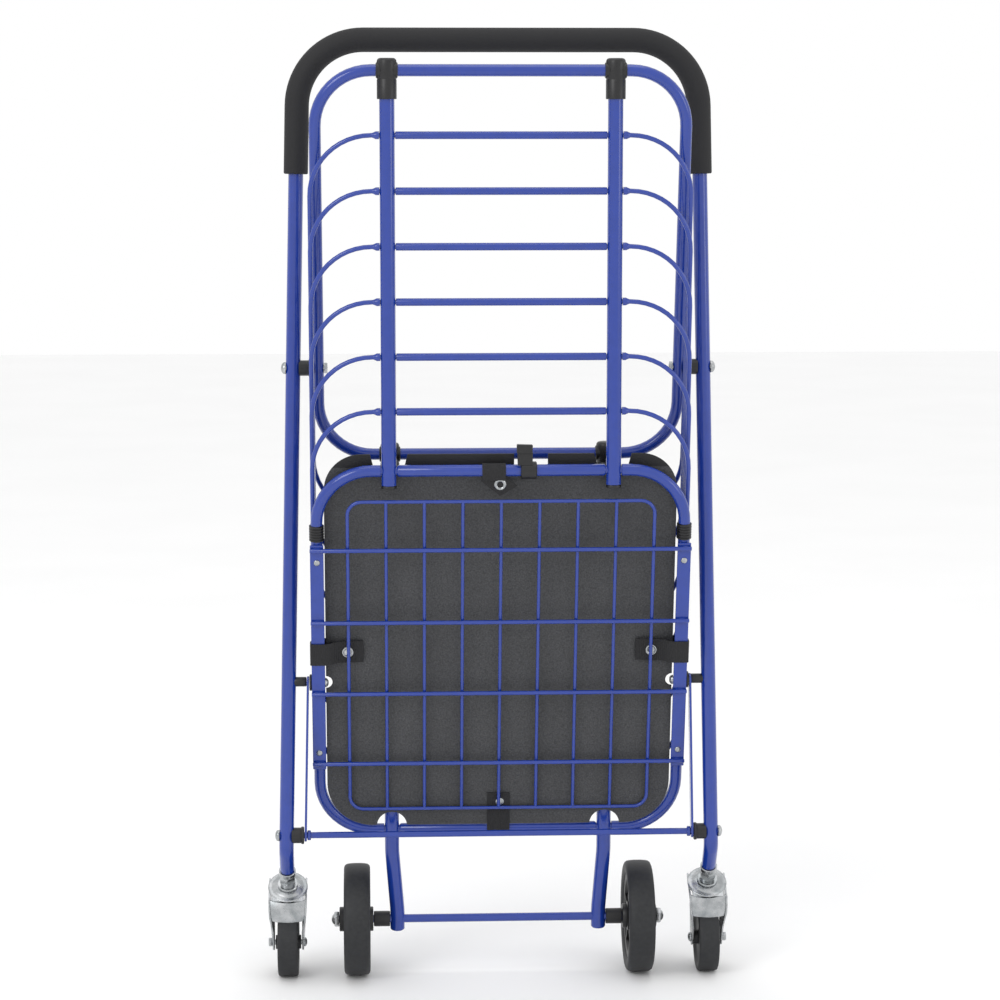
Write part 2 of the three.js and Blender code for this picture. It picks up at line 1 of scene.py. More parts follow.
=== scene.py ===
import math

import bmesh
import bpy
from mathutils import Matrix, Vector


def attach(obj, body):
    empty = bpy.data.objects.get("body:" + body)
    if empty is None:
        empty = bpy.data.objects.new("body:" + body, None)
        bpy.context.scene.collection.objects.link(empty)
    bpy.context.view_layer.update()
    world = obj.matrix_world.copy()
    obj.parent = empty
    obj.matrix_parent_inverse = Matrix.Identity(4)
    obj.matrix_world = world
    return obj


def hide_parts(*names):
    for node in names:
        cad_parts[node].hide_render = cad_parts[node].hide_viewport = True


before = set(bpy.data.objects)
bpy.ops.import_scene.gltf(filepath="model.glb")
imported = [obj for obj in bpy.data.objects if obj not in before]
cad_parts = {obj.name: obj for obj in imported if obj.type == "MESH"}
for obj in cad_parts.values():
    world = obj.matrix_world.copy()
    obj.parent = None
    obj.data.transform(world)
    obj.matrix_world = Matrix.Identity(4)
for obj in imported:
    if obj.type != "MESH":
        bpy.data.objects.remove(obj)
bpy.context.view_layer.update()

# Lengths are in millimetres and depths are from the rear uprights, until a mesh is stored.
MM = 0.001
DEPTH_SHIFT = 18.0
TILT = math.radians(12)
ARM = 422.0
RIM_Z = 585.0
FLOOR_Z = 165.0
RING_STACK = (353, 295, 237, 179, 121, 63)
REAR_X, FRONT_X = 118.0, 119.5
REAR_FOOT_X = 112.4
UPRIGHT_R, FRAME_R = 8.0, 6.35
RIM_HALF, RIM_CORNER = 195.0, 59.0
FLOOR_HALF = 197.0
RING_HALF, RING_CORNER, RING_R = 201.0, 65.0, 2.5
WHEEL_R, WHEEL_X = 62.0, 157.2
RIM_PIVOT_S, LINK_PIVOT_S = 98.6, 178.2
ROD_Y, ROD_Z = -37.9, 168.7
CASTER_X = 234.0
PLATE = (-5.3, 102.835)
CASTER_TILT = math.radians(34)
CASTER_AXLE = (-34.7, -55.4)
SIDES = (("left", -1), ("right", 1))

# Local axes: STAND sends local Z to the front, and ACROSS sends it across the cart.
STAND = Matrix(((1, 0, 0, 0), (0, 0, -1, 0), (0, 1, 0, 0), (0, 0, 0, 1)))
ACROSS = Matrix(((0, 0, 1, 0), (1, 0, 0, 0), (0, 1, 0, 0), (0, 0, 0, 1)))
CROSS_WIRES = (85.5, 169, 252.5, 336)
GRID_HALF, GRID_FROM, GRID_TO = 164, 29, 390
GRID_DEPTH = 8.45
STRAP_WIDTH = 25


def on_tray(s, pivot_z, n=0.0):
    """Depth and height of a point s along a folded tray and n out from its underside."""
    y = -s * math.sin(TILT) - n * math.cos(TILT)
    return y, pivot_z + s * math.cos(TILT) - n * math.sin(TILT)


RIM_FRONT = on_tray(ARM, RIM_Z)
FLOOR_FRONT = on_tray(ARM, FLOOR_Z)
RIM_PIVOT = on_tray(RIM_PIVOT_S, RIM_Z)
LINK_PIVOT = on_tray(LINK_PIVOT_S, FLOOR_Z)


# Materials

def node_material(name, dark, light, scale, roughness, bump, metallic=0.0, coat=0.0, stretch=(1, 1, 1)):
    """A finish whose colour, roughness and relief all vary with a fine noise."""
    mat = bpy.data.materials.new(name)
    mat.use_nodes = True
    tree = mat.node_tree
    shader = tree.nodes["Principled BSDF"]
    coords = tree.nodes.new("ShaderNodeTexCoord")
    mapping = tree.nodes.new("ShaderNodeMapping")
    mapping.inputs["Scale"].default_value = stretch
    noise = tree.nodes.new("ShaderNodeTexNoise")
    noise.inputs["Scale"].default_value = scale
    noise.inputs["Detail"].default_value = 6
    ramp = tree.nodes.new("ShaderNodeValToRGB")
    ramp.color_ramp.elements[0].position = 0.3
    ramp.color_ramp.elements[0].color = (*dark, 1)
    ramp.color_ramp.elements[1].position = 0.7
    ramp.color_ramp.elements[1].color = (*light, 1)
    rough = tree.nodes.new("ShaderNodeMapRange")
    rough.inputs["To Min"].default_value = roughness - 0.06
    rough.inputs["To Max"].default_value = roughness + 0.06
    relief = tree.nodes.new("ShaderNodeBump")
    relief.inputs["Strength"].default_value = bump
    relief.inputs["Distance"].default_value = 0.0006
    tree.links.new(coords.outputs["Object"], mapping.inputs["Vector"])
    tree.links.new(mapping.outputs["Vector"], noise.inputs["Vector"])
    tree.links.new(noise.outputs["Fac"], ramp.inputs["Fac"])
    tree.links.new(noise.outputs["Fac"], rough.inputs["Value"])
    tree.links.new(noise.outputs["Fac"], relief.inputs["Height"])
    tree.links.new(ramp.outputs["Color"], shader.inputs["Base Color"])
    tree.links.new(rough.outputs["Result"], shader.inputs["Roughness"])
    tree.links.new(relief.outputs["Normal"], shader.inputs["Normal"])
    shader.inputs["Metallic"].default_value = metallic
    shader.inputs["Coat Weight"].default_value = coat
    shader.inputs["Coat Roughness"].default_value = 0.12
    return mat


def board_material():
    """Grained dark board: a mottle under a fine pebbled relief, with a black hem at its top edge."""
    mat = node_material("board", (0.020, 0.021, 0.023), (0.060, 0.061, 0.065), 620, 0.6, 0.8)
    tree = mat.node_tree
    shader = tree.nodes["Principled BSDF"]
    coords = tree.nodes["Texture Coordinate"]
    mottle = tree.nodes.new("ShaderNodeTexNoise")
    mottle.inputs["Scale"].default_value = 14
    mottle.inputs["Detail"].default_value = 4
    shade = tree.nodes.new("ShaderNodeMix")
    shade.data_type = "RGBA"
    shade.blend_type = "OVERLAY"
    shade.inputs["Factor"].default_value = 0.35
    tree.links.new(coords.outputs["Object"], mottle.inputs["Vector"])
    tree.links.new(tree.nodes["Color Ramp"].outputs["Color"], shade.inputs["A"])
    tree.links.new(mottle.outputs["Fac"], shade.inputs["B"])
    split = tree.nodes.new("ShaderNodeSeparateXYZ")
    edge = tree.nodes.new("ShaderNodeMapRange")
    edge.inputs["From Min"].default_value = 0.5795
    edge.inputs["From Max"].default_value = 0.5805
    hem = tree.nodes.new("ShaderNodeMix")
    hem.data_type = "RGBA"
    hem.inputs["B"].default_value = (0.006, 0.006, 0.007, 1)
    tree.links.new(coords.outputs["Object"], split.inputs["Vector"])
    tree.links.new(split.outputs["Z"], edge.inputs["Value"])
    tree.links.new(edge.outputs["Result"], hem.inputs["Factor"])
    tree.links.new(shade.outputs["Result"], hem.inputs["A"])
    tree.links.new(hem.outputs["Result"], shader.inputs["Base Color"])
    return mat


def webbing_material():
    """Black webbing: fine ribs across the band, broken up a little."""
    mat = node_material("webbing", (0.008, 0.008, 0.009), (0.02, 0.02, 0.022), 700, 0.85, 0.3)
    tree = mat.node_tree
    wave = tree.nodes.new("ShaderNodeTexWave")
    wave.bands_direction = "X"
    wave.inputs["Scale"].default_value = 160
    wave.inputs["Distortion"].default_value = 0.4
    ribs = tree.nodes.new("ShaderNodeBump")
    ribs.inputs["Strength"].default_value = 0.6
    ribs.inputs["Distance"].default_value = 0.0004
    tree.links.new(tree.nodes["Texture Coordinate"].outputs["Object"], wave.inputs["Vector"])
    tree.links.new(wave.outputs["Fac"], ribs.inputs["Height"])
    tree.links.new(tree.nodes["Bump"].outputs["Normal"], ribs.inputs["Normal"])
    tree.links.new(ribs.outputs["Normal"], tree.nodes["Principled BSDF"].inputs["Normal"])
    return mat


PAINT = node_material("paint", (0.006, 0.034, 0.27), (0.008, 0.038, 0.30), 90, 0.22, 0.012, coat=0.5)
ZINC = node_material("zinc", (0.30, 0.32, 0.33), (0.52, 0.53, 0.54), 90, 0.27, 0.15, metallic=1.0)
PLASTIC = node_material("plastic", (0.005, 0.005, 0.006), (0.010, 0.010, 0.011), 500, 0.38, 0.12)
FOAM = node_material("foam", (0.005, 0.005, 0.006), (0.010, 0.010, 0.012), 900, 0.72, 0.55)
RUBBER = node_material("rubber", (0.007, 0.008, 0.010), (0.016, 0.017, 0.019), 220, 0.58, 0.3)
BOARD = board_material()
WEBBING = webbing_material()
FINISH = {
    "paint": PAINT, "zinc": ZINC, "plastic": PLASTIC, "foam": FOAM,
    "tyre": RUBBER, "board": BOARD, "webbing": WEBBING,
}


# Mesh building

def stored(verts):
    """Millimetres from the rear uprights to the frame's metres."""
    return [(x * MM, (y + DEPTH_SHIFT) * MM, z * MM) for x, y, z in verts]


def new_piece(name, verts, faces, body, slot, stands_for=(), smooth=35, bevel=0.0):
    """Stores a mesh as a piece that rides on a body; smooth is the angle up to which edges blend."""
    mesh = bpy.data.meshes.new(name)
    mesh.from_pydata(stored(verts), [], faces)
    work = bmesh.new()
    work.from_mesh(mesh)
    bmesh.ops.remove_doubles(work, verts=work.verts, dist=1e-6)
    bmesh.ops.recalc_face_normals(work, faces=work.faces)
    for face in work.faces:
        face.smooth = True
    for edge in work.edges:
        if len(edge.link_faces) == 2:
            edge.smooth = edge.calc_face_angle(0) < math.radians(smooth)
    work.to_mesh(mesh)
    work.free()
    obj = bpy.data.objects.new(name, mesh)
    bpy.context.scene.collection.objects.link(obj)
    obj.data.materials.append(FINISH[slot])
    if bevel:
        soften = obj.modifiers.new("soften", "BEVEL")
        soften.width = bevel * MM
        soften.segments = 3
        soften.limit_method = "ANGLE"
        soften.angle_limit = math.radians(40)
        soften.harden_normals = True
    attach(obj, body)
    if stands_for:
        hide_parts(*stands_for)
    return obj


class Solid:
    """Vertices and faces gathered for one piece."""

    def __init__(self):
        self.verts = []
        self.faces = []

    def add(self, verts, faces):
        base = len(self.verts)
        self.verts.extend(tuple(v) for v in verts)
        self.faces.extend([tuple(base + i for i in face) for face in faces])
        return self

    def piece(self, name, body, slot, stands_for=(), **options):
        return new_piece(name, self.verts, self.faces, body, slot, stands_for, **options)


def sweep(solid, points, tangents, radius, sides, closed=False):
    """A round bar through the points, capped at both ends unless it is closed."""
    count = len(points)
    side = Vector((0, 1, 0)) if abs(tangents[0].y) < 0.9 else Vector((1, 0, 0))
    rings = []
    for point, tangent in zip(points, tangents):
        side = (side - tangent * side.dot(tangent)).normalized()
        up = tangent.cross(side)
        rings.append((point, side.copy(), up))
    verts, faces = [], []
    for point, u, v in rings:
        for i in range(sides):
            angle = 2 * math.pi * i / sides
            verts.append(point + (u * math.cos(angle) + v * math.sin(angle)) * radius)
    spans = count if closed else count - 1
    for k in range(spans):
        a, b = k * sides, ((k + 1) % count) * sides
        for i in range(sides):
            j = (i + 1) % sides
            faces.append((a + i, a + j, b + j, b + i))
    if not closed:
        faces.append(tuple(range(sides)))
        faces.append(tuple((count - 1) * sides + i for i in range(sides)))
    return solid.add(verts, faces)


def rounded(corners, closed, steps=12):
    """Stations and tangents along straight runs, each corner given as (point, radius)."""
    points, tangents = [], []
    count = len(corners)
    for i, (at, radius) in enumerate(corners):
        into = (at - corners[i - 1][0]).normalized()
        out = (corners[(i + 1) % count][0] - at).normalized()
        if not closed and i in (0, count - 1):
            points.append(at)
            tangents.append(out if i == 0 else into)
            continue
        bend = into.angle(out)
        inward = (out - into * into.dot(out)).normalized()
        centre = at - into * radius * math.tan(bend / 2) + inward * radius
        for k in range(steps + 1):
            angle = bend * k / steps
            points.append(centre - inward * radius * math.cos(angle) + into * radius * math.sin(angle))
            tangents.append(into * math.cos(angle) + inward * math.sin(angle))
    return points, tangents


def turned(solid, profile, segments, matrix):
    """Revolves [radius, distance along local Z]; a zero radius closes on the axis."""
    verts, faces, rows = [], [], []
    for radius, along in profile:
        if radius < 1e-6:
            rows.append([len(verts)] * segments)
            verts.append(Vector((0, 0, along)))
            continue
        rows.append([len(verts) + i for i in range(segments)])
        for i in range(segments):
            angle = 2 * math.pi * (i + 0.5) / segments
            verts.append(Vector((radius * math.cos(angle), radius * math.sin(angle), along)))
    for low, high in zip(rows, rows[1:]):
        for i in range(segments):
            j = (i + 1) % segments
            face = []
            for index in (low[i], low[j], high[j], high[i]):
                if index not in face:
                    face.append(index)
            if len(face) > 2:
                faces.append(tuple(face))
    return solid.add([matrix @ v for v in verts], faces)


def along_x(y=0.0, z=0.0, x=0.0):
    """Local Z to world X."""
    turn = Matrix(((0, 0, 1), (1, 0, 0), (0, 1, 0))).to_4x4()
    return Matrix.Translation((x, y, z)) @ turn


def along_z(x=0.0, y=0.0, z=0.0):
    return Matrix.Translation((x, y, z))


def tray_matrix(pivot_z):
    """Tray coordinates (across, away from the underside, along) to world."""
    return Matrix.Translation((0, 0, pivot_z)) @ Matrix.Rotation(TILT, 4, "X")


def flip(side):
    return Matrix.Diagonal((side, 1, 1, 1))


def ring_of(radius, inner, from_, to, edge=0.0):
    """Closed profile of a sleeve with its outer edges rounded."""
    outer = [(radius - edge, from_), (radius, from_ + edge), (radius, to - edge), (radius - edge, to)]
    if not edge:
        outer = [(radius, from_), (radius, to)]
    return [(inner, from_), *outer, (inner, to), (inner, from_)]


def rod_of(radius, from_, to, edge=0.0):
    if not edge:
        return [(0, from_), (radius, from_), (radius, to), (0, to)]
    return [(0, from_), (radius - edge, from_), (radius - 0.3 * edge, from_ + 0.3 * edge),
            (radius, from_ + edge), (radius, to - edge), (radius - 0.3 * edge, to - 0.3 * edge),
            (radius - edge, to), (0, to)]


def dome_of(radius, base, height, rim=0.0):
    """A domed head from base outward, with a short straight rim."""
    profile = [(0, base), (radius, base), (radius, base + rim)]
    for k in range(1, 6):
        angle = math.pi / 2 * k / 6
        profile.append((radius * math.cos(angle), base + rim + (height - rim) * math.sin(angle)))
    profile.append((0, base + height))
    return profile


def extruded(solid, outline, matrix, depth):
    """Prism of a closed outline in local XY, from local Z 0 to depth."""
    count = len(outline)
    verts = [matrix @ Vector((u, v, z)) for z in (0, depth) for u, v in outline]
    faces = [tuple(range(count)), tuple(range(count, 2 * count))]
    for i in range(count):
        j = (i + 1) % count
        faces.append((i, j, count + j, count + i))
    return solid.add(verts, faces)


# Trays

def tray_loop(solid, half, from_, to, corner, radius, sides, pivot_z, n=0.0):
    ends = ((-half, from_), (half, from_), (half, to), (-half, to))
    corners = [(Vector((x, -n, s)), corner) for x, s in ends]
    points, tangents = rounded(corners, True)
    matrix = tray_matrix(pivot_z)
    turn = matrix.to_3x3()
    return sweep(solid, [matrix @ p for p in points], [turn @ t for t in tangents], radius, sides, True)


def build_rim():
    solid = tray_loop(Solid(), RIM_HALF, 0, ARM, RIM_CORNER, FRAME_R, 32, RIM_Z)
    solid.piece("rim_visual", "rim", "paint", ["rim_loop"])


def build_rings():
    for i, height in enumerate(RING_STACK):
        pivot = FLOOR_Z + height
        y, z = on_tray(ARM, pivot)
        solid = tray_loop(Solid(), RING_HALF, 0, ARM, RING_CORNER, RING_R, 20, pivot)
        turned(solid, rod_of(4.1, -111, 111, 0.8), 24, along_x(y, z))
        for _, side in SIDES:
            profile = [(2.4, 127.9), (4.2, 127.9), (4.2, 131.5), (3.4, 133), (2.4, 135.5)]
            turned(solid, profile, 24, flip(side) @ along_x(y, z))
        solid.piece(f"ring_visual_{i + 1}", f"ring_{i + 1}_body", "paint", [f"ring_{i + 1}"])


def build_uprights():
    for name, side in SIDES:
        solid = Solid()
        corners = [(Vector((side * REAR_FOOT_X, 0, 51)), 0), (Vector((side * REAR_FOOT_X, 0, 72)), 120),
                   (Vector((side * REAR_X, 0, 140)), 120), (Vector((side * REAR_X, 0, 570)), 0)]
        points, tangents = rounded(corners, False, 6)
        sweep(solid, points, tangents, UPRIGHT_R, 32)
        foot = [(0, 48.6), (4.5, 48.7), (6.6, 49.3), (7.6, 50.4), (7.99, 52), (0, 52)]
        turned(solid, foot, 32, along_z(side * REAR_FOOT_X, 0))
        solid.piece(f"rear_upright_visual_{name}", "rear_frame", "paint", [f"rear_upright_{name}"])
        solid = Solid()
        points = [Vector((side * FRONT_X, FLOOR_FRONT[0], z)) for z in (562, 980)]
        sweep(solid, points, [Vector((0, 0, 1))] * 2, UPRIGHT_R, 32)
        stands_for = [f"front_upright_{name}"]
        solid.piece(f"front_upright_visual_{name}", "front_panel", "paint", stands_for, bevel=0.6)
        place = along_z(side * FRONT_X, FLOOR_FRONT[0])
        plug = turned(Solid(), rod_of(8.3, 558.6, 562.2, 1.2), 32, place)
        plug.piece(f"front_plug_{name}", "front_panel", "plastic")


def build_caps():
    """Moulded caps: a skirted socket, a waist line and a domed top that wraps the rim bar."""
    profile = [(8.2, -29.7), (10.0, -29.7), (10.4, -29.2), (10.4, -10), (10.1, -9.4), (10.1, -8.8)]
    profile += [(10.4, -8.2), (10.4, 8.6), (10.0, 10.6), (8.9, 12.0), (7.2, 12.7), (0, 12.8)]
    sets = (
        ("rear_cap", REAR_X, 0.0, RIM_Z, "rear_frame"),
        ("front_cap", FRONT_X, *RIM_FRONT, "front_panel"),
    )
    for label, x, y, z, body in sets:
        for name, side in SIDES:
            solid = turned(Solid(), profile, 40, along_z(side * x, y, z))
            for end in (-1, 1):
                at = Matrix.Translation((side * x, y, z)) @ flip(end) @ along_x()
                turned(solid, ring_of(8.3, 6.6, 6, 11.4, 0.8), 32, at)
            solid.piece(f"{label}_visual_{name}", body, "plastic", [f"{label}_{name}"])


def build_floor_frame():
    solid = Solid()
    matrix = tray_matrix(FLOOR_Z)
    turn = matrix.to_3x3()
    neck = 4.5
    for s, x in ((0.0, REAR_X), (ARM, FRONT_X)):
        y, z = on_tray(s, FLOOR_Z)
        middle = [(0, -x + 8.6), (FRAME_R - 1.2, -x + 8.6), (FRAME_R, -x + 10.4)]
        middle += [(r, -a) for r, a in reversed(middle)]
        turned(solid, middle, 32, along_x(y, z))
        turned(solid, [(0, -x - 9.5), (neck, -x - 9.5), (neck, x + 9.5), (0, x + 9.5)], 24, along_x(y, z))
    for _, side in SIDES:
        corners = [
            (Vector((side * (REAR_X + 8.6), 0, 0)), 0), (Vector((side * FLOOR_HALF, 0, 0)), RIM_CORNER),
            (Vector((side * FLOOR_HALF, 0, ARM)), RIM_CORNER), (Vector((side * (FRONT_X + 8.6), 0, ARM)), 0),
        ]
        points, tangents = rounded(corners, False)
        sweep(solid, [matrix @ p for p in points], [turn @ t for t in tangents], FRAME_R, 32)
    solid.piece("floor_visual", "floor", "paint", ["floor_loop"], bevel=0.6)


def tray_prism(solid, outline, n0, n1, matrix):
    """A flat outline (across, along) thick from n0 to n1 on the tray's underside."""
    return extruded(solid, outline, matrix @ Matrix.Translation((0, -n0, 0)) @ STAND, n1 - n0)


def build_side_bars():
    matrix = tray_matrix(FLOOR_Z)
    for name, side in SIDES:
        place = matrix @ flip(side)
        outline = [(189.75, 78), (204.25, 78), (204.25, 341), (189.75, 341)]
        solid = tray_prism(Solid(), outline, 6.5, 9.35, place)
        solid.piece(f"side_bar_visual_{name}", "floor", "paint", [f"side_bar_{name}"], bevel=0.8)
        solid = Solid()
        for s in (98, 321.5):
            at = place @ Matrix.Translation((FLOOR_HALF, 0, s)) @ STAND
            turned(solid, dome_of(3.4, 9.3, 1.9, 0.3), 24, at)
        solid.piece(f"side_rivets_{name}", "floor", "zinc")


def build_grid():
    matrix = tray_matrix(FLOOR_Z)
    turn = matrix.to_3x3()
    solid = tray_loop(Solid(), GRID_HALF, GRID_FROM, GRID_TO, 15, 1.9, 16, FLOOR_Z, GRID_DEPTH)
    for i in range(7):
        x = (i + 1) * 41 - GRID_HALF
        ends = [matrix @ Vector((x, -GRID_DEPTH, s)) for s in (GRID_FROM, GRID_TO)]
        sweep(solid, ends, [turn @ Vector((0, 0, 1))] * 2, 1.8, 16)
    for s in CROSS_WIRES:
        y, z = on_tray(s, FLOOR_Z, 11.95)
        turned(solid, rod_of(2.3, -204.5, 204.5, 0.6), 20, along_x(y, z))
    solid.piece("grid_visual", "floor", "paint", ["floor_grid"])
    weld = [(0, -5.5), (1.6, -5), (2.6, -2), (2.7, 2), (1.6, 5), (0, 5.5)]
    welds = Solid()
    for s in CROSS_WIRES:
        for _, side in SIDES:
            at = matrix @ Vector((side * FLOOR_HALF, -9.6, s))
            turned(welds, weld, 14, along_x(at.y, at.z, at.x))
    welds.piece("grid_welds", "floor", "paint")


def arc(u, v, radius, from_, to, steps):
    angles = [math.radians(from_ + (to - from_) * k / steps) for k in range(steps + 1)]
    return [(u + radius * math.cos(a), v + radius * math.sin(a)) for a in angles]


def band(solid, line, thick, width, matrix):
    """A thin band along a line in local XY, its width along local Z."""
    count = len(line)
    points = [Vector((u, v, 0)) for u, v in line]
    rows = []
    for i, point in enumerate(points):
        along = (points[min(i + 1, count - 1)] - points[max(i - 1, 0)]).normalized()
        out = Vector((-along.y, along.x, 0))
        rows.append((point - out * thick / 2, point + out * thick / 2))
    verts, faces = [], []
    for low, high in rows:
        verts += [low, high, high + Vector((0, 0, width)), low + Vector((0, 0, width))]
    for k in range(count - 1):
        a, b = 4 * k, 4 * k + 4
        for i in range(4):
            j = (i + 1) % 4
            faces.append((a + i, a + j, b + j, b + i))
    faces.append((0, 1, 2, 3))
    faces.append(tuple(4 * (count - 1) + i for i in (0, 1, 2, 3)))
    return solid.add([matrix @ v for v in verts], faces)


def snap(solid, at):
    """Press stud: a rolled rim round a shallow dish with a centre post."""
    profile = [(0, 0), (6.2, 0), (6.4, 0.8), (5.9, 1.6), (5.0, 1.9), (4.2, 1.5), (3.6, 0.8)]
    profile += [(2.2, 0.8), (2.0, 1.9), (1.2, 2.3), (0, 2.4)]
    return turned(solid, profile, 32, at)


def build_straps():
    """Webbing bands round the floor's loop, each with its press stud."""
    matrix = tray_matrix(FLOOR_Z)
    wrap = FRAME_R + 0.8
    line = [(7.15, ARM - 9), *arc(0, ARM, wrap, 0, 180, 20), (-7.0, ARM - 9)]
    solid = band(Solid(), line, 1.1, STRAP_WIDTH, matrix @ Matrix.Translation((-20.5, 0, 0)) @ ACROSS)
    tail = [(-20.5, 416), (-22, 412), (-1.4, 395), (17.2, 406.4), (4.6, 415.5)]
    tray_prism(solid, tail, 4.6, 5.8, matrix)
    solid.piece("strap_front_visual", "floor", "webbing", ["strap_front"], bevel=0.4)
    eyelet = [(3.4, 0), (6.4, 0), (6.4, 0.6), (5.6, 1.3), (4.4, 1.3), (3.4, 0.6), (3.4, 0)]
    solid = turned(Solid(), eyelet, 32, matrix @ Matrix.Translation((-1.4, -5.8, 408)) @ STAND)
    solid.piece("snap_front", "floor", "zinc")
    line = [(7.15, 8), *arc(0, 0, wrap, 0, -180, 20), (-6.5, 12), (-5.9, 22), (-5.55, 36), (-5.4, 46)]
    solid = band(Solid(), line, 1.0, STRAP_WIDTH, matrix @ Matrix.Translation((-12.5, 0, 0)) @ ACROSS)
    solid.piece("strap_rear_visual", "floor", "webbing", ["strap_rear"], bevel=0.4)
    stud = dome_of(4.8, 0, 1.4, 0.3)
    solid = turned(Solid(), stud, 28, matrix @ Matrix.Translation((1.5, -6.2, 35)) @ STAND)
    solid.piece("snap_rear", "floor", "zinc")
    line = [(186, 7.15), *arc(FLOOR_HALF, 0, wrap, 90, 15, 10), (205.1, -3), (205.1, -9.7)]
    line += [(204.3, -10.4), (189, -10.4), (184, -8.5), (179, -5), (174, -2.6), (160, -1.4), (148, -0.8)]
    for name, side in SIDES:
        place = matrix @ flip(side) @ Matrix.Translation((0, 0, 202.5))
        solid = band(Solid(), line, 1.1, STRAP_WIDTH, place)
        solid.piece(f"strap_visual_{name}", "floor", "webbing", [f"strap_{name}"], bevel=0.4)
        at = matrix @ Matrix.Translation((side * 165, -2.0, 215)) @ STAND
        snap(Solid(), at).piece(f"snap_{name}", "floor", "zinc")


def build_sleeves():
    for name, side in SIDES:
        profile = [(6.5, 343.5)]
        for k in range(6):
            base = 343.5 + 3 * k
            profile += [(7.2, base + 0.2), (8.0, base + 0.8), (8.0, base + 2.0), (7.2, base + 2.6)]
        profile += [(6.5, 361.3), (6.5, 343.5)]
        at = tray_matrix(FLOOR_Z) @ Matrix.Translation((side * FLOOR_HALF, 0, 0))
        solid = turned(Solid(), profile, 32, at)
        solid.piece(f"sleeve_visual_{name}", "floor", "plastic", [f"ribbed_sleeve_{name}"])


def build_board():
    """Liner board with its notches, cut by modifiers that are applied here."""
    outline = []
    corners = ((139, 58, 50, -90), (149, 397, 40, 0), (-149, 397, 40, 90), (-139, 58, 50, 180))
    for x, s, radius, from_ in corners:
        outline += arc(x, s, radius, from_, from_ + 90, 14)
    tilt = Matrix.Translation((0, -5.1, 24)) @ Matrix.Rotation(math.radians(-2.22), 4, "X")
    place = tray_matrix(FLOOR_Z) @ tilt @ Matrix.Translation((0, 0, -24))
    panel = tray_prism(Solid(), outline, -1.6, 0, place)
    obj = panel.piece("board_visual", "floor", "board", ["liner_board"])
    cutter = Solid()
    for _, side in SIDES:
        for x, s, radius in ((REAR_X, 7, 16.5), (189, LINK_PIVOT_S, 7)):
            tray_prism(cutter, arc(side * x, s, radius, 0, 350, 35), -8, 8, place)
        slot = [(-14, 413), (14, 413), (21, 441), (-21, 441)]
        tray_prism(cutter, [(side * FRONT_X + x, s) for x, s in slot], -8, 8, place)
    tray_prism(cutter, [(14, 424), (50, 424), (50, 450), (14, 450)], -8, 8, place)
    mesh = bpy.data.meshes.new("board_cuts")
    mesh.from_pydata(stored(cutter.verts), [], cutter.faces)
    tool = bpy.data.objects.new("board_cuts", mesh)
    bpy.context.scene.collection.objects.link(tool)
    cut = obj.modifiers.new("notches", "BOOLEAN")
    cut.operation = "DIFFERENCE"
    cut.object = tool
    cut.solver = "EXACT"
    cut.use_self = True
    bpy.context.view_layer.update()
    evaluated = obj.evaluated_get(bpy.context.evaluated_depsgraph_get())
    result = bpy.data.meshes.new_from_object(evaluated)
    obj.modifiers.clear()
    obj.data = result
    bpy.data.objects.remove(tool)


def build_pivots():
    shank = [(3, 206.8), (3, 190), (5.2, 190.3), (5.2, 189.4), (4.4, 187.6), (2.6, 186.3), (0, 186)]
    for name, side in SIDES:
        place = flip(side) @ along_x(*LINK_PIVOT)
        bush = turned(Solid(), ring_of(9, 3.2, 204.4, 206.9, 0.5), 40, place)
        turned(bush, ring_of(6, 3.2, 203.5, 204.6), 32, place)
        bush.piece(f"link_bush_{name}", "floor", "plastic", [f"link_pivot_{name}"])
        bolt = turned(Solid(), shank, 28, place)
        bolt.piece(f"link_bolt_{name}", "floor", "zinc")


def build_clip():
    """Two moulded jaws joined by a short spring neck; the lower one grips the floor's front bar."""
    y, z = FLOOR_FRONT
    lower = turned(Solid(), ring_of(9.4, 6.6, 20.5, 37.5, 0.8), 36, along_x(y, z))
    lower.piece("clip_grip", "clip", "plastic", ["fold_clip"])
    neck = [(17, 6), (33, 6), (33, 20), (16.5, 20)]
    solid = extruded(Solid(), neck, Matrix.Translation((0, y - 4, z)) @ STAND, 3.5)
    solid.piece("clip_neck", "clip", "plastic", bevel=0.5)
    head = [(16, 18.5), (32.6, 18.5), (33, 28), (16, 28.5)]
    solid = extruded(Solid(), head, Matrix.Translation((0, y - 2, z)) @ STAND, 7)
    solid.piece("clip_head", "clip", "plastic", bevel=1.0)


# Handle frame

def leg(side, z):
    x = 217.6 + (862 - z) * 0.02308
    return Vector((side * x, RIM_PIVOT[0] + (z - RIM_PIVOT[1]) * 0.03394, z))


def build_handle():
    corners = [
        (Vector((-CASTER_X, -20.4, 125.3)), 0), (leg(-1, 152), 22), (leg(-1, 1031), 71),
        (leg(1, 1031), 71), (leg(1, 152), 22), (Vector((CASTER_X, -20.4, 125.3)), 0),
    ]
    points, tangents = rounded(corners, False)
    solid = sweep(Solid(), points, tangents, 8, 36)
    solid.piece("handle_visual", "handle_frame", "paint", ["handle_tube"], bevel=0.6)
    corners = [(leg(-1, 889), 0), (leg(-1, 1031), 71), (leg(1, 1031), 71), (leg(1, 889), 0)]
    points, tangents = rounded(corners, False, 20)
    solid = sweep(Solid(), points, tangents, 13, 44)
    solid.piece("grip_visual", "handle_frame", "foam", ["foam_grip"], bevel=1.6)


def fitting(name, slot, profile, segments, place, stands_for=()):
    """One turned piece on the handle frame."""
    turned(Solid(), profile, segments, place).piece(name, "handle_frame", slot, stands_for)


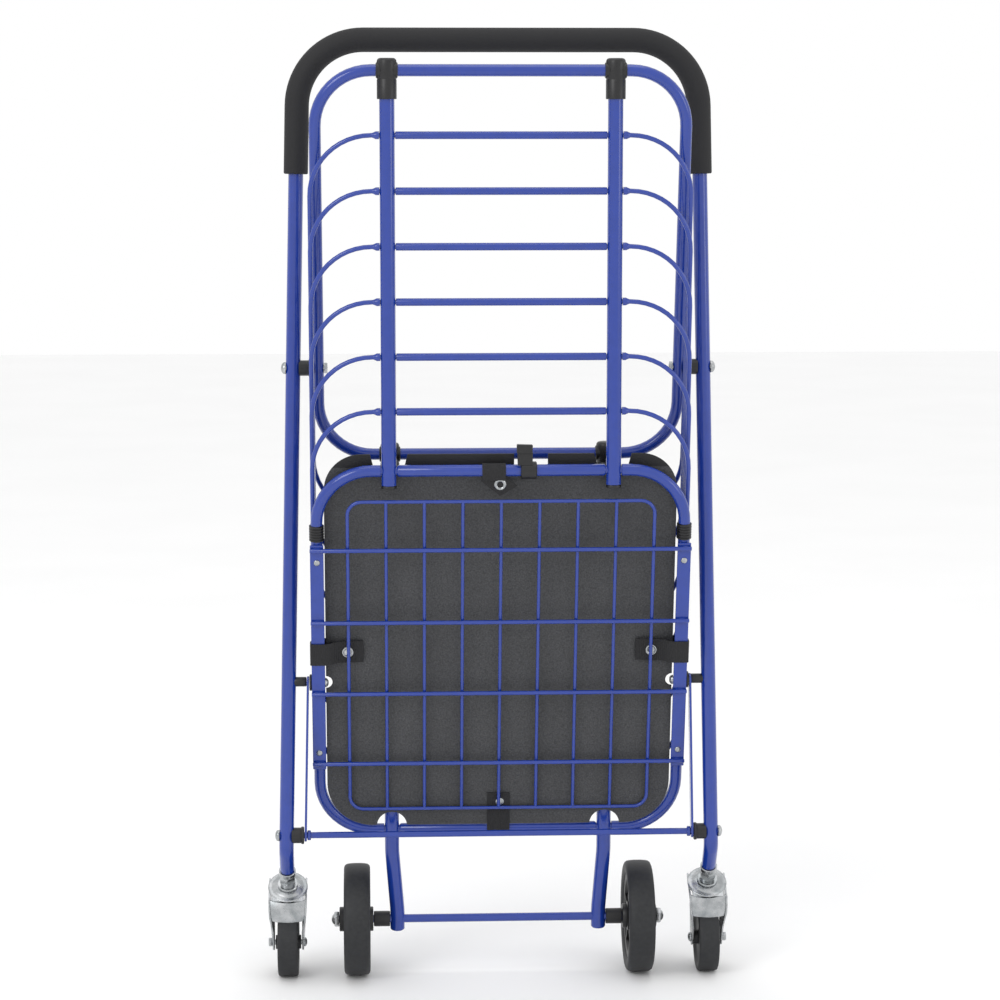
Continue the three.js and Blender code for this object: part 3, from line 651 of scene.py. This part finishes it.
def build_leg_fittings():
    for name, side in SIDES:
        place = flip(side) @ along_x(*RIM_PIVOT)
        spacer = [(3.3, 201.7), (9.0, 201.7), (9.5, 202.3), (9.5, 204.6), (8.4, 205.4), (8.4, 215.5)]
        spacer += [(3.3, 215.5), (3.3, 201.7)]
        fitting(f"rim_spacer_visual_{name}", "plastic", spacer, 36, place, [f"rim_spacer_{name}"])
        bolt = turned(Solid(), rod_of(3, 184.9, 231), 20, place)
        turned(bolt, [(0, 184.9), (5.4, 184.9), (5.7, 185.5), (5.7, 188.3), (0, 188.3)], 6, place)
        turned(bolt, dome_of(6.5, 229.9, 5.0, 1.0), 32, place)
        bolt.piece(f"rim_bolt_visual_{name}", "handle_frame", "zinc", [f"rim_bolt_{name}"])
        place = flip(side) @ along_x(ROD_Y, ROD_Z)
        spacer = [(3.7, 214.5), (9.0, 214.5), (9.6, 215.2), (9.6, 217.2), (8.6, 218), (8.6, 228)]
        spacer += [(3.7, 228), (3.7, 214.5)]
        fitting(f"lower_spacer_visual_{name}", "plastic", spacer, 36, place, [f"lower_spacer_{name}"])
        fitting(f"rod_collar_{name}", "paint", ring_of(5.6, 3.4, 207, 210.9, 0.8), 28, place)
        fitting(f"rod_end_{name}", "zinc", dome_of(6.2, 241.8, 4.4, 1.2), 32, place)
        place = flip(side) @ along_x(leg(1, LINK_PIVOT[1]).y, LINK_PIVOT[1])
        bumper = rod_of(5.3, 210.3, 224, 1.0)
        fitting(f"bumper_visual_{name}", "plastic", bumper, 28, place, [f"bumper_{name}"])
    rod = rod_of(3.5, -243, 243)
    fitting("cross_rod_visual", "paint", rod, 24, along_x(ROD_Y, ROD_Z), ["cross_rod"])


def build_links():
    low = Vector((212.6, ROD_Y, ROD_Z))
    high = Vector((208.65, *LINK_PIVOT))
    along = (high - low).normalized()
    normal = (Vector((1, 0, 0)) - along * along.x).normalized()
    across = normal.cross(along)
    basis = Matrix((along, across, normal)).transposed().to_4x4()
    length = (high - low).length
    outline = arc(0, 0, 7, 90, 270, 16) + arc(length, 0, 7, -90, 90, 16)
    for name, side in SIDES:
        place = flip(side) @ Matrix.Translation(low) @ basis @ Matrix.Translation((0, 0, -1.25))
        solid = extruded(Solid(), outline, place, 2.5)
        solid.piece(f"link_visual_{name}", f"link_body_{name}", "paint", [f"link_{name}"], bevel=0.5)


# Wheels

def build_rear_wheels():
    """Solid tyre with a slight crown, a rimmed hub with spokes, and a stepped flange."""
    tyre = [(47, -12.5), (50, -14.2), (53, -14.5), (57.5, -14.5), (59.6, -13.6), (61, -11.8), (61.6, -9)]
    tyre += [(62, -4)] + [(r, -x) for r, x in reversed(tyre + [(62, -4)])]
    hub = [(5, -17.9), (13, -17.9), (13.6, -17), (13.6, -13), (16, -12), (16, -6), (38, -4.5)]
    hub += [(41, -11.4), (43, -12), (47, -12), (47, 12), (43, 12), (41, 11.4), (38, 4.5)]
    hub += [(16, 6), (16, 12), (13.6, 13), (13.6, 19), (13, 19.8), (5, 19.8), (5, -17.9)]
    for name, side in SIDES:
        body = f"rear_wheel_{name}"
        place = flip(side) @ along_x(0, WHEEL_R, WHEEL_X)
        solid = turned(Solid(), tyre + [tyre[0]], 96, place)
        solid.piece(f"tyre_visual_{name}", body, "tyre", [f"rear_tyre_{name}"])
        solid = turned(Solid(), hub, 72, place)
        for k in range(5):
            angle = 2 * math.pi * k / 5 + 0.3
            for face_x, depth in ((-11, 6), (5, 6)):
                rib = Matrix.Rotation(angle, 4, "Z") @ Matrix.Translation((0, 0, face_x))
                extruded(solid, [(15, -2), (41, -2), (41, 2), (15, 2)], place @ rib, depth)
        solid.piece(f"hub_visual_{name}", body, "plastic", [f"rear_hub_{name}"])
        place = flip(side) @ along_x(0, WHEEL_R)
        spacer = turned(Solid(), ring_of(8.6, 4.9, 120.7, 138.8, 0.7), 36, place)
        spacer.piece(f"wheel_spacer_visual_{name}", "rear_frame", "plastic", [f"wheel_spacer_{name}"])
        nut = turned(Solid(), dome_of(6.2, 181.5, 4.5, 0.5), 28, place)
        turned(nut, [(0, 177.4), (8.2, 177.4), (8.6, 178), (8.6, 182), (7.6, 182.8), (0, 182.8)], 6, place)
        nut.piece(f"axle_nut_visual_{name}", "rear_frame", "zinc", [f"axle_nut_{name}"])
    axle = turned(Solid(), rod_of(4.6, -181, 181), 28, along_x(0, WHEEL_R))
    axle.piece("rear_axle_visual", "rear_frame", "paint", ["rear_axle"])


def caster_matrix(side):
    return flip(side) @ Matrix.Translation((CASTER_X, *PLATE)) @ Matrix.Rotation(CASTER_TILT, 4, "X")


def fork_shell(solid, place):
    """Pressed sheet: a skirt under the plate, narrowing to two legs with round ends at the axle."""
    y, z = CASTER_AXLE
    thick = 2.0
    front = [(-21.5, -2.5), (-27, -6.0), (-32.5, -10.0), (-36.6, -14.2), (-38.4, -18.5)]
    half = [21.6, 21.3, 20.8, 20.0, 19.0]
    verts, faces = [], []
    for (v, w), width in zip(front, half):
        for inset in (0, thick):
            reach = width - inset
            drop = inset * 0.8
            for k in range(9):
                t = k / 8 * 2 - 1
                bow = 5.0 * (1 - t * t) if width > 20.9 else 3.0 * (1 - t * t)
                verts.append(Vector((reach * t, v - bow + 3.0 + drop, w - drop * 0.6)))
    row = 18
    for r in range(len(front) - 1):
        for k in range(8):
            a, b = r * row + k, (r + 1) * row + k
            faces.append((a, a + 1, b + 1, b))
            faces.append((a + 9, b + 9, b + 10, a + 10))
        for k in (0, 8):
            a, b = r * row + k, (r + 1) * row + k
            faces.append((a, b, b + 9, a + 9))
    for base in (0, (len(front) - 1) * row):
        for k in range(8):
            faces.append((base + k, base + k + 1, base + k + 10, base + k + 9))
    solid.add([place @ v for v in verts], faces)
    outline = [(14, -3), (-21.5, -2.5), (-30, -8.0), (-36, -14), (-37.6, -19), (-40.5, -33)]
    outline += arc(y, z, 9, 185, 345, 14) + [(-13, -33), (3, -18), (11, -11)]
    for side in (-1, 1):
        verts = []
        for inset in (0, thick):
            for v, w in outline:
                blend = min(max((-w - 6) / 26, 0), 1)
                blend = blend * blend * (3 - 2 * blend)
                verts.append(Vector((side * (21.3 + (17.3 - 21.3) * blend - inset), v, w)))
        count = len(outline)
        faces = [tuple(range(count)), tuple(range(count, 2 * count))]
        faces += [(i, (i + 1) % count, count + (i + 1) % count, count + i) for i in range(count)]
        solid.add([place @ v for v in verts], faces)


def build_casters():
    y, z = CASTER_AXLE
    turn = Matrix.Rotation(CASTER_TILT, 3, "X")
    axle = turn @ Vector((0, y, z)) + Vector((0, *PLATE))
    for name, side in SIDES:
        place = caster_matrix(side)
        fork_body, roller = f"caster_{name}", f"caster_roller_{name}"
        fork = Solid()
        dish = [(5.3, -4.2), (19, -4.4), (21.4, -3.8), (22.2, -2.6), (21.8, -1.6), (20.2, -1.1)]
        dish += [(18.4, -1.4), (16, -0.4), (13.5, 0.8), (10.5, 1.0), (5.3, 1.0), (5.3, -4.2)]
        turned(fork, dish, 56, place)
        fork_shell(fork, place)
        plate = [(15, -2), (15, -5), (-21, -5), (-21, -2)]
        extruded(fork, plate, place @ Matrix.Translation((-17.3, 0, 0)) @ ACROSS, 34.6)
        fork.piece(f"fork_visual_{name}", fork_body, "zinc", [f"caster_fork_{name}"], bevel=0.7)
        flange = [(0, 1.3), (11, 1.3), (11.6, 2), (11.6, 3.6), (10.8, 4.4), (7, 4.4), (7, 12), (0, 12)]
        stem = turned(Solid(), flange, 36, place)
        turned(stem, [(0, 8.5), (8.6, 8.5), (9.3, 9.4), (9.3, 19), (8.6, 20), (0, 20)], 6, place)
        turned(stem, [(0, 20), (8.8, 20), (9.4, 20.6), (9.4, 25.6), (8.8, 26.3), (0, 26.3)], 36, place)
        turned(stem, [(0, -8), (6.8, -8), (7.5, -7.2), (7.5, -5.4), (4.9, -5.2), (4.9, 1.5)], 28, place)
        stem.piece(f"stem_visual_{name}", "handle_frame", "zinc", [f"caster_stem_{name}"])
        spin = flip(side) @ along_x(axle.y, axle.z, CASTER_X)
        half = [(3.2, -14), (7.6, -14), (7.8, -13), (7.8, -9.5), (10, -8.4), (26, -8.6), (28.5, -9.6)]
        half += [(30.5, -11.1), (33, -11.25), (35.6, -11.25), (36.8, -10.7), (37.4, -9.6), (37.5, -8)]
        roll = half + [(r, -a) for r, a in reversed(half)] + [half[0]]
        solid = turned(Solid(), roll, 72, spin)
        solid.piece(f"roller_visual_{name}", roller, "tyre", [f"caster_wheel_{name}"])
        bolt = turned(Solid(), rod_of(3, -20, 21), 20, spin)
        turned(bolt, [(0, 17.5), (4.6, 17.5), (4.9, 18), (4.9, 21.4), (4.4, 22), (0, 22)], 6, spin)
        turned(bolt, dome_of(5.2, 17.5, 3.4, 0.8), 28, spin @ Matrix.Rotation(math.pi, 4, "X"))
        bolt.piece(f"caster_bolt_visual_{name}", fork_body, "zinc", [f"caster_axle_{name}"])


BUILDERS = (
    build_rim, build_rings, build_uprights, build_caps, build_floor_frame, build_side_bars,
    build_grid, build_straps, build_sleeves, build_board, build_pivots, build_clip, build_handle,
    build_leg_fittings, build_links, build_rear_wheels, build_casters,
)
for build in BUILDERS:
    build()


# Floor, light and camera

def build_stage():
    mesh = bpy.data.meshes.new("floor_plane")
    mesh.from_pydata([(-8, -8, 0), (8, -8, 0), (8, 8, 0), (-8, 8, 0)], [], [(0, 1, 2, 3)])
    plane = bpy.data.objects.new("floor_plane", mesh)
    bpy.context.scene.collection.objects.link(plane)
    plane.data.materials.append(
        node_material("pale_floor", (0.93, 0.93, 0.93), (0.95, 0.95, 0.95), 3, 0.7, 0.02))
    for name, at, energy, size in (
        ("key", (-2.0, -2.4, 2.4), 26, 1.4),
        ("fill", (2.6, -1.4, 1.2), 6, 1.0),
        ("top", (0, -0.2, 3.2), 10, 1.8),
    ):
        data = bpy.data.lights.new(name, "AREA")
        data.energy = energy
        data.size = size
        lamp = bpy.data.objects.new(name, data)
        lamp.location = at
        aim = Vector((0, 0, 0.5)) - Vector(at)
        lamp.rotation_euler = aim.to_track_quat("-Z", "Y").to_euler()
        bpy.context.scene.collection.objects.link(lamp)
    world = bpy.data.worlds.new("studio")
    world.use_nodes = True
    back = world.node_tree.nodes["Background"]
    back.inputs["Color"].default_value = (1, 1, 1, 1)
    back.inputs["Strength"].default_value = 1.0
    bpy.context.scene.world = world


def build_camera():
    data = bpy.data.cameras.new("camera")
    data.sensor_width = 36
    data.lens = 99.6
    camera = bpy.data.objects.new("camera", data)
    camera.location = (-0.12919, -2.982, 0.95613)
    camera.rotation_euler = (math.radians(81.991), 0, math.radians(-2.51))
    bpy.context.scene.collection.objects.link(camera)
    bpy.context.scene.camera = camera


build_stage()
build_camera()
bpy.context.scene.view_settings.view_transform = "Standard"
bpy.context.view_layer.update()
